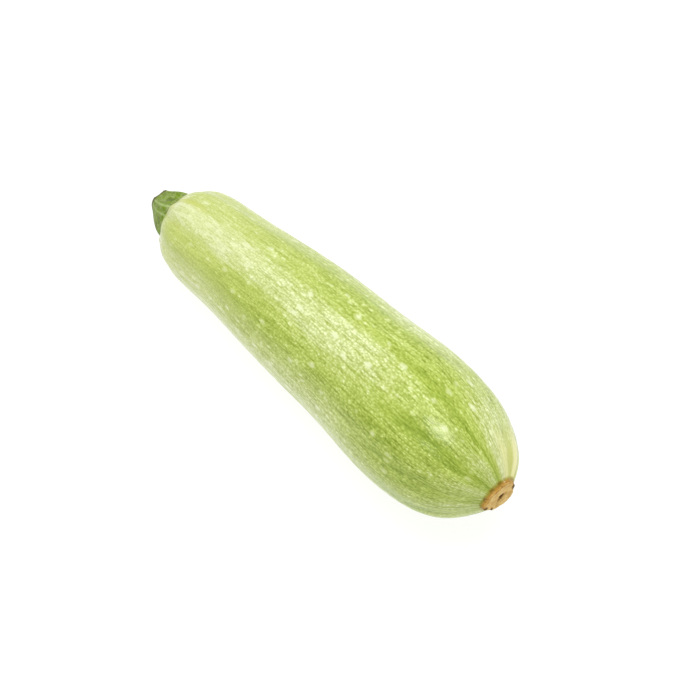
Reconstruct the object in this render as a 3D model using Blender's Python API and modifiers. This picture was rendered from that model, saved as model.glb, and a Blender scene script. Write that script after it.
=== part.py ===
"""A light green zucchini as picked: ribbed fruit, cut stem and corky blossom scar, lying on the ground.

Metres, +Z up. The fruit lies along X with its blossom end at +X and its cut stem at -X, and rests on
the plane z = 0. Every piece is a turned shape round the fruit's core line. Its points are then moved by
a formula that raises ribs, ridges and corners, bends the core and presses a small resting spot flat.
"""

import math

import bmesh
import bpy
import numpy as np

MM = 0.001

# Core line of the fruit, which hooks a little to the side at the blossom end
FRUIT_LENGTH = 190 * MM
BOW = 3.0 * MM
NOSE_UP = math.radians(3.75)
CORE_HEIGHT_AT_STEM = 19.5 * MM
NOSE_HOOK = 0.9 * MM
NOSE_HOOK_REACH = 7 * MM

# Where the fruit balances: along the core from the stem seat, and to the side of its chord
BALANCE_DISTANCE = 101.0 * MM
BALANCE_SIDE = 2.3 * MM

# Distance from the stem seat and radius of the skin, in mm, from the shoulder to the blossom end
FRUIT_STATIONS = [
    (0.3, 12.0),
    (2.9, 14.8),
    (9.5, 19.0),
    (19.0, 20.9),
    (34.0, 22.0),
    (57.0, 24.3),
    (85.5, 26.3),
    (114.0, 27.6),
    (137.0, 29.6),
    (156.0, 28.9),
    (171.0, 25.4),
    (181.5, 19.3),
    (187.0, 13.5),
    (190.0, 8.8),
]
FRUIT_RINGS = 40
FRUIT_SIDES = 70
END_EASING = 0.55
SEAT_RADIUS = 10.6 * MM

# Ribs of the fruit, which the ridges of the stem run on into, and how far they turn by the blossom end
RIB_COUNT = 10
RIB_ANGLE = math.radians(18)
RIB_TWIST = math.radians(8)
RIB_AT_SHOULDER = 0.55 * MM
RIB_AT_MIDDLE = 0.25 * MM
RIB_AT_NOSE = 0.4 * MM
RIB_SHOULDER_REACH = 40 * MM
RIB_NOSE_REACH = 45 * MM
RIB_ROUNDING = 0.08
RIB_MEAN = 0.7
RIB_FULL_RADIUS = 18 * MM
LOBE_HEIGHT = 0.2 * MM

# Slow swellings of the skin: height, waves round, twist and start round, waves and start along
LUMPS = [
    (0.30 * MM, 2, 5.0, 0.0, 7.0, 1.0),
    (0.18 * MM, 3, -4.0, 2.0, 5.0, 1.6),
]

# Gap between pieces that touch, and how near the turned points on the axis are made one
JOINT_GAP = 0.3 * MM
MERGE_DISTANCE = 0.01 * MM

# Height above the seat and mean radius of the stem in mm, then its cut face
STEM_STATIONS = [
    (0.0, 11.0),
    (2.8, 10.4),
    (5.4, 9.6),
    (7.8, 8.6),
    (10.8, 7.2),
    (13.4, 6.05),
    (14.6, 5.7),
]
STEM_CUT_HEIGHT = 14.9 * MM
STEM_CUT_RADIUS = 5.1 * MM
STEM_PITH_HEIGHT = 14.4 * MM
STEM_PITH_RADIUS = 2.4 * MM
STEM_RINGS = 12
STEM_SIDES = 60

# Ridges of the stem: angle at the cut and half width in degrees, and height as a share of the radius
STEM_RIDGES = [
    (21, 16, 0.15),
    (92, 17, 0.12),
    (162, 17, 0.12),
    (-120, 17, 0.10),
    (-64, 10, 0.04),
    (-40, 14, 0.14),
]
STEM_VALLEY = 0.95
STEM_DEGREES_PER_METRE = 1500

# How the cut slants, and how the stem starts to one side of the core and curves to the other
STEM_CUT_LOWERED = 1.2 * MM
STEM_CUT_SLOPE = 0.21
STEM_CUT_SLOPE_ANGLE = math.radians(60)
STEM_SHIFT = -0.5 * MM
STEM_CURVE = 10.8

# Angle round the core in degrees and radius in mm at each corner and hollow of the scar's outline
SCAR_OUTLINE = [
    (-178, 6.1),
    (-123, 6.4),
    (-79, 8.6),
    (-51, 7.7),
    (-6, 7.4),
    (30, 8.3),
    (63, 7.4),
    (101, 7.0),
    (141, 7.8),
]
# Share of that radius and height in mm above the fruit's end: side, rim, face and pit
SCAR_SECTION = [
    (1.00, 0.0),
    (1.00, 0.7),
    (1.02, 1.6),
    (0.99, 2.2),
    (0.90, 2.45),
    (0.66, 2.2),
    (0.36, 2.1),
    (0.24, 1.8),
    (0.12, 1.35),
]
SCAR_PIT_HEIGHT = 1.25 * MM
SCAR_PIT_SIDE = 1.5 * MM
SCAR_PIT_ABOVE = -0.6 * MM
SCAR_FOOT_RADIUS = 8.5 * MM
SCAR_FOOT_HEIGHT = 1.2 * MM
SCAR_SIDES = 54

# Colour and roughness of each piece
SKIN_FINISH = ((0.59, 0.69, 0.21), 0.42)
STEM_FINISH = ((0.19, 0.29, 0.08), 0.6)
SCAR_FINISH = ((0.60, 0.39, 0.12), 0.8)


def clear_scene():
    for obj in list(bpy.data.objects):
        bpy.data.objects.remove(obj, do_unlink=True)


def make_material(name, colour, roughness):
    material = bpy.data.materials.new(name)
    material.use_nodes = True
    shader = material.node_tree.nodes["Principled BSDF"]
    shader.inputs["Base Color"].default_value = (*colour, 1.0)
    shader.inputs["Roughness"].default_value = roughness
    shader.inputs["Metallic"].default_value = 0.0
    return material


def smooth_curve(points, shares):
    """Points of the natural cubic spline through the given ones, at the given shares of its length."""
    points = np.array(points, float)
    steps = np.linalg.norm(np.diff(points, axis=0), axis=1)
    along = np.concatenate([[0.0], np.cumsum(steps)])
    slopes = np.diff(points, axis=0) / steps[:, None]
    system = np.eye(len(points))
    right = np.zeros_like(points)
    for i in range(1, len(points) - 1):
        system[i, i - 1 : i + 2] = steps[i - 1], 2 * (steps[i - 1] + steps[i]), steps[i]
        right[i] = 6 * (slopes[i] - slopes[i - 1])
    bends = np.linalg.solve(system, right)
    found = []
    for place in np.asarray(shares) * along[-1]:
        i = min(np.searchsorted(along, place, side="right") - 1, len(steps) - 1)
        a, b = along[i + 1] - place, place - along[i]
        found.append(
            (bends[i] * a**3 + bends[i + 1] * b**3) / (6 * steps[i])
            + (points[i] / steps[i] - bends[i] * steps[i] / 6) * a
            + (points[i + 1] / steps[i] - bends[i + 1] * steps[i] / 6) * b
        )
    return found


def closer_at_ends(count):
    """Shares from 0 to 1, closer together at both ends."""
    even = np.linspace(0, 1, count + 1)
    eased = (1 - np.cos(math.pi * even)) / 2
    return even + END_EASING * (eased - even)


def turned(name, profile, sides):
    """A closed mesh turned about Z from (distance, radius) points, with the first distance on top."""
    mesh = bpy.data.meshes.new(name + "_profile")
    outline = bmesh.new()
    verts = [outline.verts.new((radius, 0, -distance)) for distance, radius in profile]
    for first, second in zip(verts, verts[1:]):
        outline.edges.new((first, second))
    outline.to_mesh(mesh)
    outline.free()
    guide = bpy.data.objects.new(name + "_profile", mesh)
    bpy.context.scene.collection.objects.link(guide)
    screw = guide.modifiers.new("Screw", "SCREW")
    screw.axis = "Z"
    screw.steps = screw.render_steps = sides
    screw.use_merge_vertices = True
    screw.merge_threshold = MERGE_DISTANCE
    graph = bpy.context.evaluated_depsgraph_get()
    made = bpy.data.meshes.new_from_object(guide.evaluated_get(graph))
    bpy.data.objects.remove(guide, do_unlink=True)
    made.name = name
    return made


def on_core(distance, angle, radius):
    """Place of a point, by its distance along the core, its angle from the top and its radius."""
    share = 2 * distance / FRUIT_LENGTH - 1
    bend = -4 * BOW * share / FRUIT_LENGTH
    outward = radius * math.sin(angle) / math.hypot(bend, 1.0)
    along = distance - bend * outward
    hook = NOSE_HOOK * math.exp(-(((FRUIT_LENGTH - distance) / NOSE_HOOK_REACH) ** 2))
    side = BOW * (1 - share**2) + hook + outward
    above = radius * math.cos(angle)
    x = along * math.cos(NOSE_UP) - above * math.sin(NOSE_UP)
    z = along * math.sin(NOSE_UP) + above * math.cos(NOSE_UP)
    return x - BALANCE_DISTANCE, side - BALANCE_SIDE, z + CORE_HEIGHT_AT_STEM


def move_points(mesh, formula):
    """Puts each turned point where the formula says: (distance, angle, radius) to a place."""
    for vertex in mesh.vertices:
        x, y, z = vertex.co
        vertex.co = formula(-z, math.atan2(y, x), math.hypot(x, y))
    mesh.update()


def add_piece(mesh, material, parent, collection):
    mesh.materials.clear()
    mesh.materials.append(material)
    mesh.shade_smooth()
    obj = bpy.data.objects.new(mesh.name, mesh)
    obj.parent = parent
    collection.objects.link(obj)


def rib_height(distance, angle, radius):
    """How far ribs, lobes and lumps raise the skin from the turned shape."""
    shoulder = math.exp(-((distance / RIB_SHOULDER_REACH) ** 2))
    nose = math.exp(-(((FRUIT_LENGTH - distance) / RIB_NOSE_REACH) ** 2))
    depth = RIB_AT_MIDDLE
    depth += (RIB_AT_SHOULDER - RIB_AT_MIDDLE) * shoulder
    depth += (RIB_AT_NOSE - RIB_AT_MIDDLE) * nose
    along = distance / FRUIT_LENGTH
    lobe = math.cos(RIB_COUNT / 2 * (angle - RIB_ANGLE - RIB_TWIST * along))
    rib = math.sqrt(lobe**2 + RIB_ROUNDING) - RIB_MEAN
    height = 2 * depth * rib + LOBE_HEIGHT * lobe
    for lump, waves_round, twist, start_round, waves_along, start_along in LUMPS:
        around = math.sin(waves_round * angle + twist * along + start_round)
        height += lump * around * math.sin(waves_along * along + start_along)
    return height * min(1.0, radius / RIB_FULL_RADIUS) ** 2


def fruit_point(distance, angle, radius):
    x, y, z = on_core(distance, angle, radius + rib_height(distance, angle, radius))
    return x, y, max(z, 0.0)


def make_fruit():
    skin = smooth_curve(FRUIT_STATIONS, closer_at_ends(FRUIT_RINGS))
    profile = [(0.0, 0.0), (0.0, SEAT_RADIUS)]
    profile += [(distance * MM, radius * MM) for distance, radius in skin]
    profile += [(FRUIT_LENGTH, 0.0)]
    mesh = turned("fruit", profile, FRUIT_SIDES)
    move_points(mesh, fruit_point)
    return mesh


def stem_ridge(height, angle):
    """Height of the ridges as a share of the radius. They twist slightly on their way down."""
    twisted = math.degrees(angle) - STEM_DEGREES_PER_METRE * (STEM_CUT_HEIGHT - height)
    total = 0.0
    for centre, half_width, share in STEM_RIDGES:
        away = (twisted - centre + 180) % 360 - 180
        total += share * math.exp(-((away / half_width) ** 2))
    return total


def stem_point(distance, angle, radius):
    height = -distance - JOINT_GAP
    radius *= STEM_VALLEY + stem_ridge(height, angle)
    slope = STEM_CUT_SLOPE * radius * math.cos(angle - STEM_CUT_SLOPE_ANGLE)
    height -= (height / STEM_CUT_HEIGHT) ** 2 * (STEM_CUT_LOWERED + slope)
    x, y, z = on_core(-height - JOINT_GAP, angle, radius)
    return x, y + STEM_SHIFT + STEM_CURVE * height**2, z


def make_stem():
    side = smooth_curve(STEM_STATIONS, np.linspace(0, 1, STEM_RINGS + 1))
    section = [(STEM_PITH_HEIGHT, 0.0), (STEM_PITH_HEIGHT, STEM_PITH_RADIUS)]
    section += [(STEM_CUT_HEIGHT, STEM_CUT_RADIUS)]
    section += [(height * MM, radius * MM) for height, radius in reversed(side)]
    section += [(0.0, 0.0)]
    mesh = turned("stem", [(-height - JOINT_GAP, radius) for height, radius in section], STEM_SIDES)
    move_points(mesh, stem_point)
    return mesh


def scar_radius(angle):
    """Radius of the scar's outline at an angle, eased between its corners and hollows."""
    degrees = math.degrees(angle)
    corners = [(a + turn, r) for turn in (-360, 0, 360) for a, r in SCAR_OUTLINE]
    for (start, first), (end, second) in zip(corners, corners[1:]):
        if start <= degrees <= end:
            share = 0.5 - 0.5 * math.cos(math.pi * (degrees - start) / (end - start))
            return (first + (second - first) * share) * MM
    raise ValueError("the outline leaves out an angle")


def scar_point(distance, angle, radius):
    """The side starts on a circle at the foot and takes on the outline as it rises. The pit lies to one
    side, so the rings of the face shift towards it."""
    rise = min(1.0, (distance - FRUIT_LENGTH - JOINT_GAP) / SCAR_FOOT_HEIGHT)
    outline = SCAR_FOOT_RADIUS + (scar_radius(angle) - SCAR_FOOT_RADIUS) * rise
    share = radius / MM
    shift = max(0.0, 1 - share) ** 2
    side = share * outline * math.sin(angle) + shift * SCAR_PIT_SIDE
    above = share * outline * math.cos(angle) + shift * SCAR_PIT_ABOVE
    return on_core(distance, math.atan2(side, above), math.hypot(side, above))


def make_blossom_scar():
    """The section is turned with radii as shares of a millimetre, which the outline then scales."""
    end = FRUIT_LENGTH + JOINT_GAP
    profile = [(end, 0.0)]
    profile += [(end + height * MM, share * MM) for share, height in SCAR_SECTION]
    profile += [(end + SCAR_PIT_HEIGHT, 0.0)]
    mesh = turned("blossom_scar", profile, SCAR_SIDES)
    move_points(mesh, scar_point)
    return mesh


def main():
    clear_scene()
    collection = bpy.data.collections.new("zucchini")
    bpy.context.scene.collection.children.link(collection)
    parent = bpy.data.objects.new("zucchini", None)
    collection.objects.link(parent)
    skin = make_material("pale_green_skin", *SKIN_FINISH)
    stalk = make_material("green_stem", *STEM_FINISH)
    cork = make_material("dry_cork", *SCAR_FINISH)
    add_piece(make_fruit(), skin, parent, collection)
    add_piece(make_stem(), stalk, parent, collection)
    add_piece(make_blossom_scar(), cork, parent, collection)


main()
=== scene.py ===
"""Dresses a light green zucchini: ribbed and flecked skin, ridged stem stub and corky blossom scar.

Every piece is spun from a profile with bmesh, and its points are then moved by the same formulas that
shape the solids, with finer relief on top. Lengths are in metres where no comment says mm. The fruit lies
along X, with its blossom end at +X, and its patterns follow the skin through an attribute that unrolls the
bent body.
"""

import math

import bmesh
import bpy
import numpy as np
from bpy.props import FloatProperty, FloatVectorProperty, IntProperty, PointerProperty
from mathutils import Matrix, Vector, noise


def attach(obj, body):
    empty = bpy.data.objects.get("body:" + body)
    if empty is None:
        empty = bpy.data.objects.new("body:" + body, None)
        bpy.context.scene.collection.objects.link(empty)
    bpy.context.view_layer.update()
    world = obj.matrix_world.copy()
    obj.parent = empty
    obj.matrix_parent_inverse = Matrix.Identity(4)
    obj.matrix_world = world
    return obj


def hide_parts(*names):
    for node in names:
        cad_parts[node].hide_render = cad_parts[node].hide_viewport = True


bl_info = {
    "name": "Light Green Zucchini",
    "version": (1, 0, 0),
    "blender": (4, 5, 0),
    "location": "View3D > Sidebar > Zucchini",
    "description": "Builds the skin, stem and blossom scar of a light green zucchini, and a pale stage",
    "category": "Add Mesh",
}

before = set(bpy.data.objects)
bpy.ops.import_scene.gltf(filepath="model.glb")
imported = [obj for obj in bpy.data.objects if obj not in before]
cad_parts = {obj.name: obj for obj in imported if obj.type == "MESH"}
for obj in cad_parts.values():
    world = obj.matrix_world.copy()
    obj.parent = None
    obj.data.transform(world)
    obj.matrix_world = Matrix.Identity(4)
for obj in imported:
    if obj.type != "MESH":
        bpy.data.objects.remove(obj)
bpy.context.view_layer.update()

MM = 0.001

# Core line of the fruit, and the point that it balances on, as the solids have them
FRUIT_LENGTH = 190 * MM
BOW = 3.0 * MM
NOSE_UP = math.radians(3.75)
CORE_HEIGHT_AT_STEM = 19.5 * MM
NOSE_HOOK = 0.9 * MM
NOSE_HOOK_REACH = 7 * MM
BALANCE_DISTANCE = 101.0 * MM
BALANCE_SIDE = 2.3 * MM

# Distance from the stem seat and radius of the skin, in mm, from the shoulder to the blossom end
FRUIT_STATIONS = [
    (0.3, 12.0),
    (2.9, 14.8),
    (9.5, 19.0),
    (19.0, 20.9),
    (34.0, 22.0),
    (57.0, 24.3),
    (85.5, 26.3),
    (114.0, 27.6),
    (137.0, 29.6),
    (156.0, 28.9),
    (171.0, 25.4),
    (181.5, 19.3),
    (187.0, 13.5),
    (190.0, 8.8),
]
SEAT_RADIUS = 10.6 * MM
PATTERN_RADIUS = 26 * MM

# Height above the fruit's end and radius, in mm, of the lip of skin that holds the scar
SKIN_LIP = [
    (0.3, 8.74),
    (0.7, 8.74),
    (1.0, 8.74),
    (1.3, 8.72),
    (1.5, 8.66),
    (1.7, 8.56),
    (1.75, 8.44),
    (1.65, 8.3),
    (1.3, 8.2),
    (0.3, 8.0),
    (0.2, 4.0),
    (0.2, 0.0),
]

# Relief of the skin: size of its dimples, and the creases round the scar, which sway from side to side
DIMPLE_SIZE = 7 * MM
PUCKER_REACH = 4 * MM
PUCKER_COUNT = 31
PUCKER_SWAY = 3
PUCKER_SWAY_WAVES = 5
SKIN_RELIEF = 0.04 * MM
COAT_RELIEF = 0.018 * MM

# Angles in degrees of the darkest spots in the browned skin round the scar, which are partly browning and
# partly painted shade in the gaps between the scar's lobes, the cosine of how far each one reaches, and how
# unevenly the browned edge runs
SCORCH_AND_SHADE_SPOTS = [-58, -25, 5, 150]
SCORCH_AND_SHADE_SPOT_REACH = 0.989
SCAR_EDGE_WANDER = 0.3 * MM

# Lengths along the skin, in mm from the edge of the stem seat, where each pattern begins and is full
SKIN_SPANS = {
    "shoulder": (100, 15),
    "nose": (120, 175),
    "tip": (150, 186),
    "pale_tip": (178, 192),
    "groove": (30, 110),
    "groove_by_shoulder": (60, 8),
    "merged": (192, 175),
    # low side: painted shade, darker skin on the fruit's lower side towards the shoulder
    "low_side": (105, 50),
    # far side: painted shade, darker skin along the fruit's far edge
    "far_side": (130, 50),
    "marks": (0, 130),
    "daub": (100, 30),
    "by_stem": (30, 3),
    "off_joint": (0.5, 3),
    "tinted": (174, 194),
    "cream": (176, 198),
    "by_scar": (180, 198),
    "olive": (200.8, 202.3),
    "scorch": (202.0, 202.8),
    "scorch_and_shade_spots_begin": (201.3, 201.9),
    "scorch_and_shade_spots_end": (203.0, 202.2),
}

# Sides of the fruit that patterns keep to: angle from the top in radians, and the cosines of the angle
# from there at which each side begins and is full
SKIN_SIDES = {
    "near_top": (-0.2, 0.55, 0.85),
    "top": (0.1, 0.78, 0.95),
    "high": (0.65, 0.80, 0.97),
    # far: the far edge, darkened with painted shade
    "far": (0.95, 0.8, 0.98),
    "scar": (1.0, 0.6, 1.0),
    "cream": (1.1, 0.7, 0.99),
    # low: the lower side, darkened with painted shade
    "low": (-1.1, 0.6, 0.95),
}

# Noises of the skin, stem and scar: squeeze along the piece, scale, detail and roughness
NOISES = {
    "wander": (1.0, 90.0, 3.0, 0.5),
    "patches": (0.25, 75.0, 3.0, 0.55),
    "streak": (0.07, 800.0, 3.0, 0.65),
    "broad_streak": (0.06, 260.0, 2.0, 0.5),
    "daub": (0.28, 380.0, 1.0, 0.5),
    "hair": (0.1, 1500.0, 2.0, 0.6),
    "grain": (0.45, 2200.0, 2.0, 0.6),
    "scar_edge": (1.0, 330.0, 2.0, 0.5),
    "relief": (1.0, 420.0, 3.0, 0.5),
    "gloss": (1.0, 330.0, 3.0, 0.6),
    "stem_mottle": (1.0, 420.0, 3.0, 0.6),
    "stem_patches": (1.0, 210.0, 2.0, 0.5),
    "stem_fine": (0.35, 1600.0, 3.0, 0.6),
    "stem_wear": (1.0, 260.0, 2.0, 0.5),
    "cork_fibre": (1.0, 900.0, 4.0, 0.65),
    "cork_mottle": (1.0, 420.0, 4.0, 0.6),
    "cork_spots": (1.0, 420.0, 2.0, 0.5),
}

# Flecks: scale and reach in mm of the shake in their outlines, squeeze along the fruit, scale and scatter
SKIN_FLECKS = {
    "small": (420.0, 0.9, 0.5, 1250.0, 0.9),
    "medium": (220.0, 0.5, 0.6, 420.0, 1.0),
    "large": (300.0, 1.4, 0.55, 180.0, 1.0),
}

# How pale the skin is before its patterns, and what each of them adds to that where it is full
PLAIN_PALENESS = 0.47
PALENESS = {
    "crest": 0.27,
    "nose_crest": 0.5,
    "shoulder": 0.15,
    "groove": -0.36,
    "nose": -0.1,
    "pale_tip": 0.13,
    # painted shade on the low side
    "low_side": -0.15,
    # painted shade on the far side
    "far_side": -0.24,
    "fine": 0.5,
    "medium_spot": 0.1,
    "large_spot": 0.32,
    "ring": -0.2,
    "broad_streak": 0.3,
}

# What each of the finest marks adds to their sum
FINE_MARKS = {
    "streak": 0.9,
    "hair": -0.26,
    "grain": 0.5,
    "net": -0.13,
    "small_spot": 0.26,
    "medium_spot": 0.18,
}

# Ribs and lobes of the fruit, and how softly its lowest skin flattens on the floor
RIB_COUNT = 10
RIB_ANGLE = math.radians(18)
RIB_TWIST = math.radians(8)
RIB_WANDER = 0.14
RIB_AT_SHOULDER = 0.55 * MM
RIB_AT_MIDDLE = 0.25 * MM
RIB_AT_NOSE = 0.4 * MM
RIB_SHOULDER_REACH = 40 * MM
RIB_NOSE_REACH = 45 * MM
RIB_ROUNDING = 0.08
RIB_MEAN = 0.7
RIB_FULL_RADIUS = 18 * MM
LOBE_HEIGHT = 0.2 * MM
LOBE_ANGLE = math.radians(15.5)
FLOOR_SOFTNESS = 0.12 * MM

# Slow lumps of the fruit: height, waves round it, twist, start round it, waves along it, start along it
LUMPS = [
    (0.30 * MM, 2, 5.0, 0.0, 7.0, 1.0),
    (0.18 * MM, 3, -4.0, 2.0, 5.0, 1.6),
]

# Height above the seat and mean radius of the stem, in mm
STEM_STATIONS = [
    (0.0, 11.0),
    (2.8, 10.4),
    (5.4, 9.6),
    (7.8, 8.6),
    (10.8, 7.2),
    (13.4, 6.05),
    (14.6, 5.7),
]
STEM_CUT_HEIGHT = 14.9 * MM
STEM_CUT_FACE = [(14.3, 0.0), (14.3, 0.9), (14.35, 1.8), (14.5, 2.7), (14.65, 3.5), (14.8, 4.3), (14.9, 5.1)]
STEM_FOOT = [(-0.4, 11.2), (-1.0, 11.8), (-1.7, 12.3), (-2.2, 12.4), (-2.6, 11.6), (-2.6, 6.0), (-2.6, 0.0)]

# Ridges of the stem: angle at the cut and half width in degrees, and height as a share of the radius
STEM_RIDGES = [
    (21, 16, 0.15),
    (92, 17, 0.12),
    (162, 17, 0.12),
    (-120, 17, 0.10),
    (-64, 10, 0.04),
    (-40, 14, 0.14),
]
STEM_VALLEY = 0.95

# Pale lines of the stem: angle at the cut and half width in degrees, and strength
STEM_LINES = [
    (21, 2.2, 0.6),
    (92, 2.2, 0.8),
    (162, 2.2, 0.7),
    (-120, 2.2, 0.8),
    (-60, 2.0, 0.75),
    (-39, 2.2, 1.0),
]
STEM_DEGREES_PER_METRE = 1500

# How the cut slants, and how the stem starts to one side of the core and curves to the other
STEM_CUT_LOWERED = 1.2 * MM
STEM_CUT_SLOPE = 0.21
STEM_CUT_SLOPE_ANGLE = math.radians(60)
STEM_SHIFT = -0.5 * MM
STEM_CURVE = 10.8

# Where the stem's cut face, side and toes begin, and the sizes of its bumps and specks
STEM_CUT_RADIUS = 5 * MM
STEM_CUT_RIM = (5.2 * MM, 5.7 * MM)
STEM_TOE_RADIUS = 8 * MM
STEM_TOE_DEPTH = 2 * MM
STEM_CREST_SHARE = 0.13
STEM_WRAP_RADIUS = 8 * MM
STEM_WRINKLE_SIZE = 1.6 * MM
STEM_GRAIN_SIZE = 1.1 * MM
STEM_GRAIN_OFFSET = 5
STEM_RELIEF = 0.14 * MM
STEM_SPECK_SCALE = 1100.0

# Heights over which the stem dries towards its cut and pales towards the fruit, partly its own colour and
# partly a painted rim sheen, and how unevenly it dries
STEM_DRY_SPAN = (13.2 * MM, 14.6 * MM)
STEM_DRY_WANDER = 2.4 * MM
STEM_DRY_ON_RIDGES = 0.9 * MM
STEM_JOINT_AND_SHEEN_SPAN = (0.4 * MM, -1.2 * MM)

# Angle in degrees and radius in mm at each corner and hollow of the scar's outline
SCAR_OUTLINE = [
    (-178, 6.1),
    (-123, 6.4),
    (-79, 8.6),
    (-51, 7.7),
    (-6, 7.4),
    (30, 8.3),
    (63, 7.4),
    (101, 7.0),
    (141, 7.8),
]
SCAR_MEAN_RADIUS = 7.4 * MM
SCAR_FOOT_RADIUS = 8.5 * MM
SCAR_FOOT_HEIGHT = 1.2 * MM
SCAR_PIT_SIDE = 1.5 * MM
SCAR_PIT_ABOVE = -0.6 * MM

# Dark tips of the scar's rim: angle in degrees and half width in radians
SCAR_TIPS = [(78, 0.28), (-86, 0.12), (-127, 0.12)]

# Fibres of the scar, drawn on a squeezed and flattened copy of it, and the sizes of its uneven places
SCAR_FIBRE_SQUEEZE = 0.3
SCAR_FIBRE_RADIUS = 7 * MM
SCAR_RAG_SIZE = 2.4 * MM
SCAR_GRAIN_SIZE = 1.5 * MM
SCAR_RELIEF = 0.25 * MM

# Shallow dish that the pit lies in: middle, long and short half width, and angle of its long way
SCAR_DISH_SIDE = 0.4 * MM
SCAR_DISH_ABOVE = -1.2 * MM
SCAR_DISH_LENGTH = 2.6 * MM
SCAR_DISH_WIDTH = 1.3 * MM
SCAR_DISH_ANGLE = math.radians(65)

# Share of the outline's radius and height in mm above the fruit's end: foot, side, rim, face and pit
SCAR_SECTION = [
    (1.03, -0.5),
    (0.99, 0.1),
    (0.965, 0.8),
    (0.98, 1.5),
    (1.01, 1.95),
    (0.985, 2.25),
    (0.90, 2.42),
    (0.78, 2.32),
    (0.60, 2.22),
    (0.40, 2.15),
    (0.25, 2.0),
    (0.15, 1.6),
    (0.07, 1.28),
    (0.00, 1.2),
]

# Height above the fruit's end and radius, in mm, of the scar's back, which the skin hides
SCAR_BACK = [(-0.8, 0.0), (-0.8, 5.0)]

# Point that the camera aims at, width of its sensor in mm, and the floor's size
CAMERA_AIM = (1.1 * MM, 3.1 * MM, 27.1 * MM)
SENSOR_WIDTH = 36.0
CLIP_START = 0.01
FLOOR_RADIUS = 4.0
FLOOR_SIDES = 96

# Softboxes: size, place, and the point that each one faces
KEY_SOFTBOX = ((0.7, 0.45), (-0.07, 0.05, 0.75), (0, 0, 0))
GLEAM_SOFTBOX = ((0.29, 0.27), (0.135, -0.13, 0.65), (0.06, 0, 0))
BACK_SOFTBOX = ((1.2, 0.6), (0.1, 0.9, 0.32), (0, 0, 0))


def srgb(red, green, blue):
    """Linear colour of an 8-bit screen colour."""
    return tuple(
        c / 12.92 if c <= 0.04045 else ((c + 0.055) / 1.055) ** 2.4
        for c in (red / 255, green / 255, blue / 255)
    )


def length_property(name, description, default, low, high):
    """A length that the sidebar shows in the scene's unit."""
    return FloatProperty(
        name=name, description=description, default=default, min=low, max=high,
        subtype="DISTANCE", unit="LENGTH", precision=5,
    )


def colour_property(name, description, default):
    """A linear colour without transparency."""
    return FloatVectorProperty(
        name=name, description=description, default=default, min=0.0, max=1.0,
        size=3, subtype="COLOR",
    )


class ZucchiniFruitSettings(bpy.types.PropertyGroup):
    """Sizes and colours of the skin"""

    rings: IntProperty(
        name="Rings", description="Faces along the skin", default=330, min=60, max=340)
    sides: IntProperty(
        name="Sides", description="Faces round the skin", default=280, min=60, max=290)
    dimple_depth: length_property(
        "Dimple Depth", "Depth of the shallow dimples of the skin", 0.07 * MM, 0, 1 * MM)
    pucker_depth: length_property(
        "Pucker Depth", "Depth of the creases round the blossom scar", 0.16 * MM, 0, 1 * MM)
    deepest: colour_property("Deepest", "Bottoms of the grooves and net", srgb(136, 162, 36))
    deep_green: colour_property("Deep Green", "Darker bands", srgb(168, 189, 72))
    green: colour_property("Green", "Skin between the ribs", srgb(190, 207, 104))
    pale_green: colour_property("Pale Green", "Crests of the ribs", srgb(213, 224, 156))
    fleck: colour_property("Fleck", "Pale flecks and blotches", srgb(232, 240, 190))
    shoulder: colour_property("Shoulder", "Skin next to the stem", srgb(214, 218, 138))
    yellowed: colour_property("Yellowed", "Tint and grooves next to the stem and scar", srgb(208, 212, 98))
    cream: colour_property("Cream", "Pale side of the blossom end", srgb(255, 251, 170))
    olive: colour_property("Olive", "Skin just before the browned edge", srgb(168, 156, 36))
    scorch: colour_property("Scorch", "Browned skin at the edge of the scar", srgb(186, 138, 48))
    # Scorch and shade spots: partly browning, partly painted shade in the gaps at the scar's rim
    scorch_and_shade_spot: colour_property("Scorch Spot", "Dark spots in the browned edge", srgb(124, 92, 0))


class ZucchiniStemSettings(bpy.types.PropertyGroup):
    """Sizes and colours of the stem"""

    rings: IntProperty(
        name="Rings", description="Faces along the stem's side", default=110, min=20, max=200)
    sides: IntProperty(
        name="Sides", description="Faces round the stem", default=240, min=40, max=400)
    wrinkle_depth: length_property(
        "Wrinkle Depth", "Height of the small bumps on the sides", 0.05 * MM, 0, 1 * MM)
    cut_roughness: length_property(
        "Cut Roughness", "How uneven the cut face is", 0.2 * MM, 0, 1 * MM)
    foot_reach: length_property(
        "Foot Reach", "How far each ridge runs on over the shoulder", 1.3 * MM, 0, 6 * MM)
    green: colour_property("Green", "Bright patches between the ridges", srgb(120, 150, 26))
    film: colour_property("Film", "Greyish film between the ridges", srgb(150, 168, 94))
    ridge: colour_property("Ridge", "Pale line along each ridge", srgb(180, 198, 134))
    olive: colour_property("Olive", "Dark patches, hollows and edges", srgb(86, 98, 36))
    dry_edge: colour_property("Dry Edge", "Shrivelled edge of the cut", srgb(96, 92, 52))
    cut: colour_property("Cut", "Dried cut face", srgb(186, 178, 122))
    # Pale foot of the stem: partly its own colour, partly a painted sheen on the rim where stem and fruit
    # meet
    pale_joint_and_sheen: colour_property("Joint", "Pale ring where stem and fruit meet", srgb(214, 217, 162))


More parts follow.
